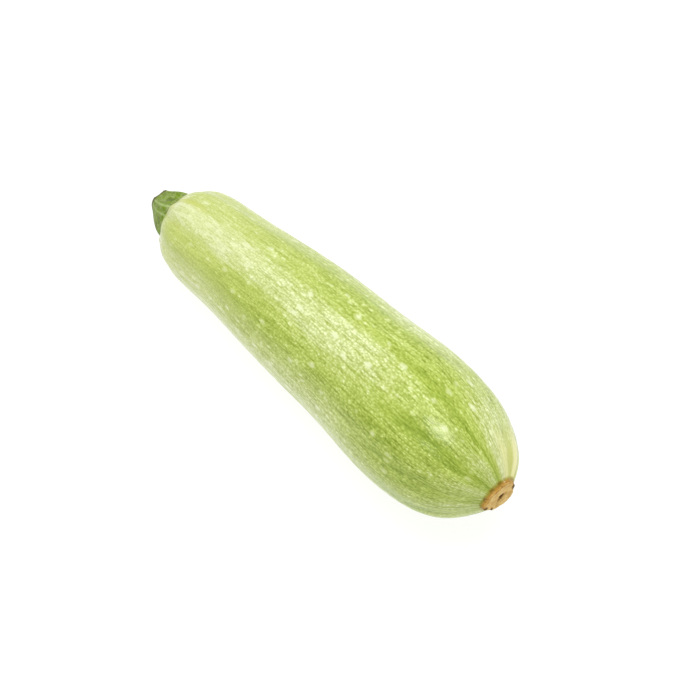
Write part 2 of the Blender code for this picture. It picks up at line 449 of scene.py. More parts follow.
class ZucchiniScarSettings(bpy.types.PropertyGroup):
    """Sizes and colours of the blossom scar"""

    rings: IntProperty(
        name="Rings", description="Faces from the foot to the pit", default=110, min=20, max=200)
    sides: IntProperty(
        name="Sides", description="Faces round the scar", default=260, min=40, max=400)
    raggedness: FloatProperty(
        name="Raggedness", description="How uneven the rim is, as a share of its radius",
        default=0.025, min=0, max=0.3, subtype="FACTOR")
    face_roughness: length_property(
        "Face Roughness", "Height of the corky grain on the face", 0.22 * MM, 0, 1 * MM)
    dish_depth: length_property(
        "Dish Depth", "Depth of the shallow dish that the pit lies in", 0.55 * MM, 0, 2 * MM)
    cork: colour_property("Cork", "Dry face of the scar", srgb(240, 206, 130))
    toasted: colour_property("Toasted", "Orange brown side and rim", srgb(188, 142, 60))
    # Dark: also the painted shade in the trough of the dish
    dark: colour_property("Dark", "Pit, notches and darkest tips", srgb(88, 56, 20))
    green: colour_property("Green", "Foot where the skin begins", srgb(160, 150, 48))


class ZucchiniStageSettings(bpy.types.PropertyGroup):
    """Camera, floor and lights"""

    camera_azimuth: FloatProperty(
        name="Azimuth", description="Side that the camera looks from", default=math.radians(47.13),
        subtype="ANGLE", unit="ROTATION")
    camera_elevation: FloatProperty(
        name="Elevation", description="Height angle of the camera", default=math.radians(58.96),
        subtype="ANGLE", unit="ROTATION")
    camera_distance: length_property(
        "Distance", "From the camera to the point it aims at", 672.1 * MM, 0.1, 3)
    lens: FloatProperty(
        name="Lens", description="Focal length in millimetres", default=85.0, min=10, max=300)
    floor: colour_property("Floor", "Pale floor", (0.26, 0.26, 0.26))
    floor_glow: FloatProperty(
        name="Floor Glow", description="Light that the lit table gives off", default=0.86, min=0, max=5)
    sky_strength: FloatProperty(
        name="Sky", description="Strength of the even white light", default=0.5, min=0, max=5)
    key_power: FloatProperty(
        name="Key", description="Power of the large overhead softbox", default=4.05, min=0,
        unit="POWER")
    back_power: FloatProperty(
        name="Back", description="Power of the wide softbox behind the fruit", default=0.2, min=0,
        unit="POWER")
    gleam_power: FloatProperty(
        name="Gleam", description="Power of the softbox that gleams on the skin", default=2.4, min=0,
        unit="POWER")


class Recipe:
    """A material's node tree, with one short call for each kind of node."""

    def __init__(self, name, sockets):
        self.material = bpy.data.materials.new(name)
        self.material.use_nodes = True
        self.tree = self.material.node_tree
        self.shader = self.tree.nodes["Principled BSDF"]
        for socket, value in sockets.items():
            self.feed(self.shader.inputs[socket], value)

    def add(self, kind, inputs=None, **settings):
        node = self.tree.nodes.new("ShaderNode" + kind)
        for key, value in settings.items():
            setattr(node, key, value)
        for key, value in (inputs or {}).items():
            self.feed(node.inputs[key], value)
        return node

    def feed(self, socket, value):
        if isinstance(value, bpy.types.NodeSocket):
            self.tree.links.new(value, socket)
        elif socket.type == "RGBA" and len(value) == 3:
            socket.default_value = (*value, 1.0)
        else:
            socket.default_value = value

    def attribute(self, name, output="Vector"):
        return self.add("Attribute", attribute_name=name).outputs[output]

    def math(self, operation, first, second=0.0):
        return self.add("Math", {0: first, 1: second}, operation=operation).outputs[0]

    def times(self, *factors):
        product = factors[0]
        for factor in factors[1:]:
            product = self.math("MULTIPLY", product, factor)
        return product

    def total(self, *parts):
        result = parts[0]
        for part in parts[1:]:
            result = self.math("ADD", result, part)
        return result

    def weighted(self, weights, **patterns):
        """Sum of the patterns, each times the weight that has its name."""
        return self.total(*(self.times(pattern, weights[name]) for name, pattern in patterns.items()))

    def without(self, value):
        """1 where the value is 0, and 0 where it is 1."""
        return self.math("SUBTRACT", 1.0, value)

    def centred(self, value):
        """Noise moved down by half, so that it is below zero as often as above."""
        return self.math("SUBTRACT", value, 0.5)

    def ramp(self, value, start, end, low=0.0, high=1.0):
        """Eases from low at start to high at end."""
        node = self.add(
            "MapRange", {"Value": value, 1: start, 2: end, 3: low, 4: high},
            interpolation_type="SMOOTHSTEP", clamp=True)
        return node.outputs[0]

    def scaled(self, place, x, y=1.0, z=1.0):
        return self.add("VectorMath", {0: place, 1: (x, y, z)}, operation="MULTIPLY").outputs[0]

    def noise(self, place, name):
        """Noise as it is listed under its name."""
        squeeze, scale, detail, roughness = NOISES[name]
        return self.add("TexNoise", {
            "Vector": self.scaled(place, squeeze), "Scale": scale, "Detail": detail,
            "Roughness": roughness}).outputs[0]

    def shaken(self, vector, place, scale, reach):
        """Moves a vector a little this way and that, so that what is drawn on it gets uneven outlines."""
        shake = self.add("TexNoise", {"Vector": place, "Scale": scale, "Detail": 2.0}).outputs[1]
        shake = self.add("VectorMath", {0: shake, 1: (0.5, 0.5, 0.5)}, operation="SUBTRACT").outputs[0]
        shake = self.scaled(shake, reach, reach, 0.0)
        return self.add("VectorMath", {0: vector, 1: shake}, operation="ADD").outputs[0]

    def cells(self, place, scale, randomness=1.0):
        """Distance to the nearest of points scattered on a plane, and a random number for each point."""
        node = self.add("TexVoronoi", {
            "Vector": place, "Scale": scale, "Randomness": randomness}, voronoi_dimensions="2D")
        pick = self.add("SeparateColor", {0: node.outputs["Color"]}).outputs[0]
        return node.outputs["Distance"], pick

    def colours(self, value, stops):
        """Colour that passes through the stops as the value rises from 0 to 1."""
        node = self.add("ValToRGB", {0: value})
        elements = node.color_ramp.elements
        while len(elements) < len(stops):
            elements.new(0.5)
        for element, (position, colour) in zip(elements, stops):
            element.position = position
            element.color = (*colour, 1.0)
        return node.outputs[0]

    def mix(self, share, first, second):
        return self.add("Mix", {0: share, 6: first, 7: second}, data_type="RGBA").outputs[2]

    def bump(self, height, distance):
        return self.add("Bump", {"Height": height, "Distance": distance, "Strength": 1.0}).outputs[0]

    def finish(self, colour, roughness=None, normal=None):
        self.feed(self.shader.inputs["Base Color"], colour)
        if roughness is not None:
            self.feed(self.shader.inputs["Roughness"], roughness)
        if normal is not None:
            self.feed(self.shader.inputs["Normal"], normal)
        return self.material


def smooth_curve(points, shares):
    """Points of the natural cubic spline through the given ones, at the given shares of its length."""
    points = np.array(points, float)
    steps = np.linalg.norm(np.diff(points, axis=0), axis=1)
    along = np.concatenate([[0.0], np.cumsum(steps)])
    slopes = np.diff(points, axis=0) / steps[:, None]
    system = np.eye(len(points))
    right = np.zeros_like(points)
    for i in range(1, len(points) - 1):
        system[i, i - 1 : i + 2] = steps[i - 1], 2 * (steps[i - 1] + steps[i]), steps[i]
        right[i] = 6 * (slopes[i] - slopes[i - 1])
    bends = np.linalg.solve(system, right)
    place = np.asarray(shares) * along[-1]
    i = np.clip(np.searchsorted(along, place, side="right") - 1, 0, len(steps) - 1)
    step = steps[i][:, None]
    a, b = along[i + 1][:, None] - place[:, None], (place - along[i])[:, None]
    return (
        (bends[i] * a**3 + bends[i + 1] * b**3) / (6 * step)
        + (points[i] / step - bends[i] * step / 6) * a
        + (points[i + 1] / step - bends[i + 1] * step / 6) * b
    )


def spin_profile(name, profile, sides):
    """Spins (distance, radius) points round an axis. Returns the mesh and, for each of its points, the
    length along the profile, the angle, the distance and the radius."""
    profile = np.array(profile, float)
    along = np.concatenate([[0.0], np.cumsum(np.linalg.norm(np.diff(profile, axis=0), axis=1))])
    bm = bmesh.new()
    verts = [bm.verts.new((radius, 0, -t)) for t, (_, radius) in zip(along, profile)]
    edges = [bm.edges.new(pair) for pair in zip(verts, verts[1:])]
    bmesh.ops.spin(
        bm, geom=verts + edges, cent=(0, 0, 0), axis=(0, 0, 1), dvec=(0, 0, 0),
        angle=math.tau, steps=sides, use_merge=True, use_duplicate=False)
    bmesh.ops.remove_doubles(bm, verts=bm.verts, dist=0.001 * MM)
    bmesh.ops.recalc_face_normals(bm, faces=bm.faces)
    mesh = bpy.data.meshes.new(name)
    bm.to_mesh(mesh)
    bm.free()
    co = np.empty(len(mesh.vertices) * 3)
    mesh.vertices.foreach_get("co", co)
    x, y, z = co.reshape(-1, 3).T
    distance, radius = (np.interp(-z, along, profile[:, i]) for i in (0, 1))
    return mesh, -z, np.arctan2(y, x), distance, radius


def on_core(distance, angle, radius):
    """Places of points, by distance along the core, angle from the top and radius."""
    share = 2 * distance / FRUIT_LENGTH - 1
    bend = -4 * BOW * share / FRUIT_LENGTH
    outward = radius * np.sin(angle) / np.hypot(bend, 1.0)
    along = distance - bend * outward
    hook = NOSE_HOOK * np.exp(-(((FRUIT_LENGTH - distance) / NOSE_HOOK_REACH) ** 2))
    side = BOW * (1 - share**2) + hook + outward
    above = radius * np.cos(angle)
    x = along * math.cos(NOSE_UP) - above * math.sin(NOSE_UP)
    z = along * math.sin(NOSE_UP) + above * math.cos(NOSE_UP)
    return np.stack([x - BALANCE_DISTANCE, side - BALANCE_SIDE, z + CORE_HEIGHT_AT_STEM], -1)


def rib_height(distance, angle, radius):
    """How far ribs, lobes and lumps raise the skin from the turned shape."""
    shoulder = np.exp(-((distance / RIB_SHOULDER_REACH) ** 2))
    nose = np.exp(-(((FRUIT_LENGTH - distance) / RIB_NOSE_REACH) ** 2))
    depth = RIB_AT_MIDDLE
    depth = depth + (RIB_AT_SHOULDER - RIB_AT_MIDDLE) * shoulder
    depth = depth + (RIB_AT_NOSE - RIB_AT_MIDDLE) * nose
    along = distance / FRUIT_LENGTH
    lobe = np.cos(RIB_COUNT / 2 * (angle - RIB_ANGLE - RIB_TWIST * along))
    rib = np.sqrt(lobe**2 + RIB_ROUNDING) - RIB_MEAN
    height = 2 * depth * rib + LOBE_HEIGHT * lobe
    for lump, waves_round, twist, start_round, waves_along, start_along in LUMPS:
        around = np.sin(waves_round * angle + twist * along + start_round)
        height = height + lump * around * np.sin(waves_along * along + start_along)
    return height * np.minimum(1.0, radius / RIB_FULL_RADIUS) ** 2


def rough(places, size, octaves=2):
    """Smooth noise from -1 to 1 at each place, with features of about the given size."""
    return np.array([
        noise.fractal(Vector(p), 1.0, 2.0, octaves, noise_basis="PERLIN_ORIGINAL")
        for p in places / size])


def cylinder(along, radius, angle):
    """Places on a straight cylinder that stands for a bent surface, which its patterns are drawn on."""
    return np.stack([along, radius * np.sin(angle), radius * np.cos(angle)], -1)


def dress(name, mesh, places, node, finish, attributes):
    """Makes the finished piece: points at their places, attributes, material, and its place in the frame."""
    mesh.vertices.foreach_set("co", np.asarray(places, np.float32).ravel())
    for label, values in attributes.items():
        values = np.asarray(values, np.float32)
        kind, field = ("FLOAT_VECTOR", "vector") if values.ndim == 2 else ("FLOAT", "value")
        mesh.attributes.new(label, kind, "POINT").data.foreach_set(field, values.ravel())
    mesh.shade_smooth()
    mesh.materials.append(finish)
    mesh.update()
    obj = bpy.data.objects.new(name, mesh)
    bpy.context.scene.collection.objects.link(obj)
    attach(obj, "root")
    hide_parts(node)
    return obj


def skin_profile(rings):
    """Profile of the fruit, from the middle of the stem seat to the middle of the blossom end."""
    skin = smooth_curve(FRUIT_STATIONS, np.linspace(0, 1, rings + 1)) * MM
    seat = [(0.0, share * SEAT_RADIUS) for share in (0.0, 0.33, 0.66, 1.0)]
    lip = [(FRUIT_LENGTH + h * MM, r * MM) for h, r in SKIN_LIP]
    return np.array(seat + [tuple(p) for p in skin] + lip)


def skin_finish(look):
    """Waxy skin. How pale it is adds up from ribs, grooves, streaks, flecks and painted shade on its low and
    far sides and picks the colour, and the finest marks also make it lighter or darker."""
    skin = Recipe("waxy_green_skin", {
        "Roughness": 0.42, "Specular IOR Level": 0.18,
        "Coat Weight": 0.6, "Coat Roughness": 0.17, "Coat IOR": 1.4})
    place = skin.attribute("skin_place")
    axis = skin.add("SeparateXYZ", {0: place}).outputs
    along = axis[0]
    angle = skin.math("ARCTAN2", axis[1], axis[2])
    flat = skin.add("CombineXYZ", {0: along, 1: skin.times(angle, PATTERN_RADIUS)}).outputs[0]

    def span(name, low=0.0, high=1.0, of=along):
        begins, full = SKIN_SPANS[name]
        return skin.ramp(of, begins * MM, full * MM, low, high)

    def side(name, low=0.0, high=1.0):
        centre, begins, full = SKIN_SIDES[name]
        near = skin.math("COSINE", skin.math("SUBTRACT", angle, centre))
        return skin.ramp(near, begins, full, low, high)

    def flecks(name):
        shake, reach, squeeze, scale, scatter = SKIN_FLECKS[name]
        return skin.cells(skin.scaled(skin.shaken(flat, place, shake, reach * MM), squeeze), scale, scatter)

    wander = skin.times(skin.centred(skin.noise(place, "wander")), RIB_WANDER)
    around = skin.math("ADD", angle, wander)
    turned = skin.math("SUBTRACT", around, skin.times(along, RIB_TWIST / FRUIT_LENGTH))
    rib = skin.math("COSINE", skin.times(skin.math("SUBTRACT", turned, RIB_ANGLE), float(RIB_COUNT)))
    lobe = skin.math("COSINE", skin.times(skin.math("ADD", around, LOBE_ANGLE), RIB_COUNT / 2))
    nose = span("nose")
    shoulder = span("shoulder")
    patches = skin.noise(place, "patches")

    # Broad pale lobes along the body, narrow pale ribs at the blossom end, deep green grooves, and painted
    # shade on the low and far sides
    lobe_top = skin.ramp(lobe, -1.0, 0.68)
    crest = skin.times(lobe_top, skin.without(nose), skin.ramp(patches, 0.2, 0.6, 0.7, 1.0))
    high_side = side("high")
    top_side = side("top", 0.3, 1.0)
    rib_top = skin.math("MAXIMUM", skin.ramp(rib, 0.1, 0.95), skin.times(high_side, 0.8))
    nose_crest = skin.times(rib_top, span("tip"), skin.ramp(high_side, 0.0, 1.0, 0.28, 1.0))
    rib_foot = skin.ramp(rib, span("groove", -0.6, -0.2), -0.95)
    merged = skin.without(skin.times(high_side, span("merged")))
    by_shoulder = skin.times(span("groove_by_shoulder"), top_side, 0.8)
    depth = skin.math("MAXIMUM", skin.times(nose, merged), by_shoulder)
    depth = skin.math("MAXIMUM", depth, 0.2)
    groove = skin.times(rib_foot, side("near_top", 0.35, 1.0), depth, skin.ramp(patches, 0.85, 0.3))
    pattern = skin.weighted(
        PALENESS, crest=crest, nose_crest=nose_crest, shoulder=shoulder, groove=groove, nose=nose,
        # painted shade darkens the low side
        pale_tip=span("pale_tip"), low_side=skin.times(side("low"), span("low_side")),
        # painted shade darkens the far side
        far_side=skin.times(side("far"), span("far_side")))

    # Fine dark and pale streaks that run along the fruit
    streak = skin.centred(skin.noise(place, "streak"))
    broad_streak = skin.centred(skin.noise(place, "broad_streak"))
    daub = skin.ramp(skin.noise(place, "daub"), 0.5, 0.68)
    daub = skin.times(daub, skin.ramp(lobe, -0.3, 0.5, 0.3, 1.0), span("daub", 0.08, 0.24))
    hair = skin.ramp(skin.noise(place, "hair"), 0.50, 0.34)
    grain = skin.centred(skin.noise(place, "grain"))

    # Flecks of three sizes, laid out on the flattened skin, with a darker net between the smallest
    small, small_pick = flecks("small")
    medium, medium_pick = flecks("medium")
    large, large_pick = flecks("large")
    small_spot = skin.times(skin.ramp(small, 0.45, 0.05), skin.ramp(small_pick, 0.1, 0.9, 0.2, 1.0))
    net = skin.ramp(small, 0.3, 0.65)
    medium_size = skin.ramp(medium_pick, 0.6, 1.0, 0.0, 0.36)
    medium_spot = skin.ramp(skin.math("SUBTRACT", medium, medium_size), 0.05, -0.2)
    large_size = skin.ramp(large_pick, 0.5, 1.0, 0.02, 0.24)
    large_edge = skin.math("SUBTRACT", large, large_size)
    large_spot = skin.ramp(large_edge, 0.05, -0.16)
    ring = skin.times(skin.ramp(large_edge, 0.12, 0.07), skin.ramp(large_edge, 0.0, 0.05), large_size)

    # The fine marks are fainter at the shoulder, in the grooves and on the large spots
    spots = skin.weighted(FINE_MARKS, small_spot=small_spot, medium_spot=medium_spot)
    spots = skin.times(spots, skin.without(skin.times(groove, 0.7)))
    fine = skin.weighted(FINE_MARKS, streak=streak, hair=hair, grain=grain, net=net)
    fine = skin.times(
        skin.total(fine, spots), span("marks", 0.85, 1.38), skin.ramp(large_spot, 0.9, 0.0, 0.4, 1.0),
        skin.without(skin.times(groove, 0.4)))
    marks = skin.weighted(
        PALENESS, fine=fine, medium_spot=medium_spot, large_spot=large_spot, ring=ring,
        broad_streak=broad_streak)

    stops = [(0.0, look.deepest), (0.28, look.deep_green), (0.52, look.green),
             (0.78, look.pale_green), (1.0, look.fleck)]
    colour = skin.colours(skin.total(PLAIN_PALENESS, pattern, marks, daub), stops)
    light = skin.total(1.0, skin.times(fine, 0.4))
    colour = skin.add("VectorMath", {0: colour, "Scale": light}, operation="SCALE").outputs[0]
    colour = skin.mix(skin.times(shoulder, 0.3), colour, look.shoulder)

    # Yellow grooves next to the stem, and cream ribs and yellow grooves on one side of the scar
    stem_groove = skin.ramp(rib, -0.6, -1.0, 0.0, 0.6)
    by_stem = skin.times(span("by_stem"), stem_groove, top_side, span("off_joint"))
    colour = skin.mix(by_stem, colour, look.yellowed)
    scar_side = side("scar")
    colour = skin.mix(skin.times(scar_side, span("tinted"), 0.45), colour, look.yellowed)
    cream = skin.times(side("cream"), span("cream"), skin.ramp(rib, -0.6, 0.6))
    colour = skin.mix(skin.times(cream, 0.9), colour, look.cream)
    by_scar = skin.times(scar_side, span("by_scar"), skin.ramp(rib, 0.1, -0.7))
    colour = skin.mix(skin.times(by_scar, 0.85), colour, look.yellowed)

    # Next to the scar the skin turns olive, then orange brown with dark spots, which are partly browning and
    # partly painted shade in the gaps of the scar's rim
    wander = skin.times(skin.centred(skin.noise(place, "scar_edge")), SCAR_EDGE_WANDER)
    edge = skin.math("ADD", along, wander)
    colour = skin.mix(span("olive", 0.0, 0.9, edge), colour, look.olive)
    colour = skin.mix(span("scorch", of=edge), colour, look.scorch)
    spotted = 0.0
    for degrees in SCORCH_AND_SHADE_SPOTS:
        near = skin.math("COSINE", skin.math("SUBTRACT", angle, math.radians(degrees)))
        spotted = skin.math("MAXIMUM", spotted, skin.ramp(near, SCORCH_AND_SHADE_SPOT_REACH, 1.0))
    # dark spots: partly browning, partly painted shade
    browned_and_shaded = skin.times(
        span("scorch_and_shade_spots_begin", of=edge), span("scorch_and_shade_spots_end", of=edge),
        skin.ramp(spotted, 0.0, 1.0, 0.25, 0.75))
    colour = skin.mix(browned_and_shaded, colour, look.scorch_and_shade_spot)

    relief = skin.total(small_spot, skin.times(net, -0.6), skin.noise(place, "relief"))
    coat = skin.bump(skin.total(relief, streak), COAT_RELIEF)
    skin.feed(skin.shader.inputs["Coat Normal"], coat)
    roughness = skin.ramp(skin.noise(place, "gloss"), 0.3, 0.7, 0.36, 0.5)
    return skin.finish(colour, roughness, skin.bump(relief, SKIN_RELIEF))


class ZUCCHINI_OT_fruit(bpy.types.Operator):
    """Builds the ribbed and flecked fruit"""

    bl_idname = "zucchini.fruit"
    bl_label = "Zucchini Fruit"

    def execute(self, context):
        look = context.scene.zucchini_fruit
        profile = skin_profile(look.rings)
        mesh, along, angle, distance, radius = spin_profile("fruit_skin", profile, look.sides)
        pattern = cylinder(along - SEAT_RADIUS, PATTERN_RADIUS, angle)
        height = rib_height(distance, angle, radius)
        height += look.dimple_depth * rough(pattern, DIMPLE_SIZE)
        near_scar = np.exp(-np.abs(FRUIT_LENGTH - distance) / PUCKER_REACH)
        sway = PUCKER_SWAY * np.sin(PUCKER_SWAY_WAVES * angle)
        height += look.pucker_depth * near_scar * np.sin(PUCKER_COUNT * angle + sway)
        rise = np.clip((distance - FRUIT_LENGTH) / SCAR_FOOT_HEIGHT, 0, 1)
        drawn_in = 1 + (scar_radius(angle) / SCAR_FOOT_RADIUS - 1) * rise
        places = on_core(distance, angle, (radius + height) * drawn_in)
        z = places[:, 2]
        places[:, 2] = (z + np.sqrt(z**2 + 4 * FLOOR_SOFTNESS**2)) / 2
        dress("fruit_skin", mesh, places, "fruit", skin_finish(look), {"skin_place": pattern})
        return {"FINISHED"}


def stem_finish(look):
    """Mottled green stalk with pale ridge lines, a dark edge round the dried cut, and a pale foot that is
    partly a painted rim sheen.
    """
    stem = Recipe("mottled_green_stem", {"Roughness": 0.6, "Specular IOR Level": 0.2})
    place = stem.add("TexCoord").outputs["Object"]
    wrap = stem.attribute("wrap")
    ridge = stem.attribute("ridge", "Fac")
    height = stem.attribute("height", "Fac")

    # Bright green under a greyish film, with olive patches, hollows and streaks
    mottle = stem.noise(wrap, "stem_mottle")
    colour = stem.mix(stem.ramp(mottle, 0.4, 0.6), look.green, look.film)
    patches = stem.ramp(stem.noise(place, "stem_patches"), 0.5, 0.7, 0.0, 0.75)
    colour = stem.mix(patches, colour, look.olive)
    hollow = stem.times(stem.ramp(ridge, 0.5, 0.75), stem.ramp(ridge, 0.98, 0.8))
    colour = stem.mix(stem.times(hollow, 0.3), colour, look.olive)
    fine = stem.noise(wrap, "stem_fine")
    colour = stem.mix(stem.ramp(fine, 0.5, 0.72, 0.0, 0.55), colour, look.olive)
    colour = stem.mix(stem.ramp(fine, 0.46, 0.3, 0.0, 0.4), colour, look.film)

    # Small pale specks, and a worn pale line along each ridge
    specks, pick = stem.cells(wrap, STEM_SPECK_SCALE)
    speck = stem.times(stem.ramp(specks, 0.42, 0.15), stem.ramp(pick, 0.4, 0.8))
    colour = stem.mix(stem.times(speck, 0.4), colour, look.ridge)
    worn = stem.ramp(stem.noise(wrap, "stem_wear"), 0.3, 0.55, 0.45, 0.95)
    colour = stem.mix(stem.times(stem.attribute("pale_line", "Fac"), worn), colour, look.ridge)

    # Shrivelled edge, pale foot that is partly a painted rim sheen, and cut face
    wander = stem.times(stem.centred(mottle), STEM_DRY_WANDER)
    dry = stem.total(height, wander, stem.times(ridge, STEM_DRY_ON_RIDGES))
    colour = stem.mix(stem.ramp(dry, *STEM_DRY_SPAN, 0.0, 0.9), colour, look.dry_edge)
    # pale foot: partly its own colour, partly a painted sheen on the rim
    colour = stem.mix(stem.ramp(height, *STEM_JOINT_AND_SHEEN_SPAN), colour, look.pale_joint_and_sheen)
    colour = stem.mix(stem.attribute("cut_face", "Fac"), colour, look.cut)

    relief = stem.total(stem.times(fine, 0.5), stem.times(mottle, 0.9), stem.times(speck, 0.3))
    return stem.finish(colour, stem.ramp(mottle, 0.3, 0.7, 0.5, 0.7), stem.bump(relief, STEM_RELIEF))


def stem_profile(rings):
    """Height above the seat and mean radius, from the middle of the cut to the foot under the skin."""
    side = smooth_curve(STEM_STATIONS, np.linspace(0, 1, rings + 1))[::-1]
    return [(h * MM, r * MM) for h, r in STEM_CUT_FACE + [tuple(p) for p in side] + STEM_FOOT]


def stem_bands(height, angle, bands):
    """Sum of bands that run down the stem and twist slightly: angle at the cut, half width and strength."""
    twisted = np.degrees(angle) - STEM_DEGREES_PER_METRE * (STEM_CUT_HEIGHT - height)
    total = 0.0
    for centre, half_width, share in bands:
        away = (twisted - centre + 180) % 360 - 180
        total = total + share * np.exp(-((away / half_width) ** 2))
    return total


class ZUCCHINI_OT_stem(bpy.types.Operator):
    """Builds the ridged stub of the cut stem"""

    bl_idname = "zucchini.stem"
    bl_label = "Zucchini Stem"

    def execute(self, context):
        look = context.scene.zucchini_stem
        profile = [(-height, radius) for height, radius in stem_profile(look.rings)]
        mesh, along, angle, distance, radius = spin_profile("stem_stub", profile, look.sides)
        height = -distance
        ridge = stem_bands(height, angle, STEM_RIDGES)
        line = stem_bands(height, angle, STEM_LINES)
        crest = np.clip(ridge / STEM_CREST_SHARE, 0, 1)
        wrap = np.stack([along, STEM_WRAP_RADIUS * angle, 0 * angle], -1)
        round_place = cylinder(height, STEM_WRAP_RADIUS, angle)
        on_side = np.clip((STEM_CUT_HEIGHT - height) / MM, 0, 1) * (radius > STEM_CUT_RADIUS)
        radius = radius * (STEM_VALLEY + ridge)
        radius = radius + look.wrinkle_depth * on_side * rough(round_place, STEM_WRINKLE_SIZE, 3)
        toe = np.clip(-height / STEM_TOE_DEPTH, 0, 1) * (radius > STEM_TOE_RADIUS)
        radius = radius + look.foot_reach * toe * crest
        lift = look.cut_roughness * rough(round_place + STEM_GRAIN_OFFSET, STEM_GRAIN_SIZE, 3)
        slope = STEM_CUT_SLOPE * radius * np.cos(angle - STEM_CUT_SLOPE_ANGLE)
        risen = np.clip(height / STEM_CUT_HEIGHT, 0, None) ** 2
        raised = height + risen * (lift - STEM_CUT_LOWERED - slope)
        places = on_core(-raised, angle, radius)
        places[:, 1] += STEM_SHIFT + STEM_CURVE * np.clip(raised, 0, None) ** 2
        inside = np.interp(along, STEM_CUT_RIM, [1, 0])
        attributes = {
            "ridge": crest, "pale_line": line, "height": height, "cut_face": inside, "wrap": wrap}
        dress("stem_stub", mesh, places, "stem", stem_finish(look), attributes)
        return {"FINISHED"}


def scar_finish(look):
    """Dry tan cork with fine fibres, a toasted rim with dark notches, a brown dish with painted shade in its
    trough, and a dark pit.
    """
    scar = Recipe("dry_tan_cork", {"Roughness": 0.75, "Specular IOR Level": 0.2})
    place = scar.add("TexCoord").outputs["Object"]
    share = scar.attribute("share", "Fac")
    mottle = scar.noise(place, "cork_mottle")
    uneven = scar.centred(mottle)
    colour = scar.mix(scar.ramp(mottle, 0.4, 0.65, 0.0, 0.5), look.cork, look.toasted)

    # Toasted rim with dark spots and darker tips
    rim = scar.ramp(share, 0.9, 0.97, 0.0, 0.85)
    colour = scar.mix(scar.times(rim, scar.ramp(mottle, 0.35, 0.6, 0.6, 1.0)), colour, look.toasted)
    spots = scar.ramp(scar.noise(place, "cork_spots"), 0.58, 0.7, 0.0, 0.5)
    colour = scar.mix(scar.times(rim, spots), colour, look.dark)
    tips = scar.ramp(scar.attribute("tip", "Fac"), 0.3, 0.7)
    colour = scar.mix(scar.times(tips, scar.ramp(share, 0.74, 0.86), 0.9), colour, look.dark)

    # Brown dish with painted shade in its trough, and the pit in it
    dish = scar.attribute("dish", "Fac")
    colour = scar.mix(scar.times(scar.ramp(dish, 0.2, 0.8), 0.75), colour, look.toasted)
    # painted shade in the trough of the dish
    dish_shade = scar.times(scar.ramp(dish, 0.4, 0.8), scar.ramp(mottle, 0.3, 0.6, 0.3, 0.6))
    colour = scar.mix(dish_shade, colour, look.dark)
    pit_edge = scar.math("ADD", share, scar.times(uneven, 0.12))
    colour = scar.mix(scar.ramp(pit_edge, 0.22, 0.12, 0.0, 0.95), colour, look.dark)

    # Fibres over the whole face, and the foot that turns to the colour of the skin
    fibre = scar.noise(scar.attribute("fibre_place"), "cork_fibre")
    colour = scar.mix(scar.ramp(fibre, 0.52, 0.75, 0.0, 0.35), colour, look.toasted)
    rise = scar.math("ADD", scar.attribute("rise", "Fac"), scar.times(uneven, 1.2))
    colour = scar.mix(scar.times(scar.ramp(rise, 0.55, 0.1), 0.85), colour, look.green)

    relief = scar.total(fibre, scar.times(mottle, 0.6))
    return scar.finish(colour, scar.ramp(fibre, 0.3, 0.7, 0.62, 0.85), scar.bump(relief, SCAR_RELIEF))


def scar_radius(angle):
    """Radius of the scar's outline at each angle, eased between its corners and hollows."""
    corners = np.array([(a + turn, r) for turn in (-360, 0, 360) for a, r in SCAR_OUTLINE], float)
    degrees = np.degrees(angle)
    i = np.searchsorted(corners[:, 0], degrees, side="right") - 1
    share = (degrees - corners[i, 0]) / (corners[i + 1, 0] - corners[i, 0])
    eased = 0.5 - 0.5 * np.cos(math.pi * share)
    return (corners[i, 1] + (corners[i + 1, 1] - corners[i, 1]) * eased) * MM


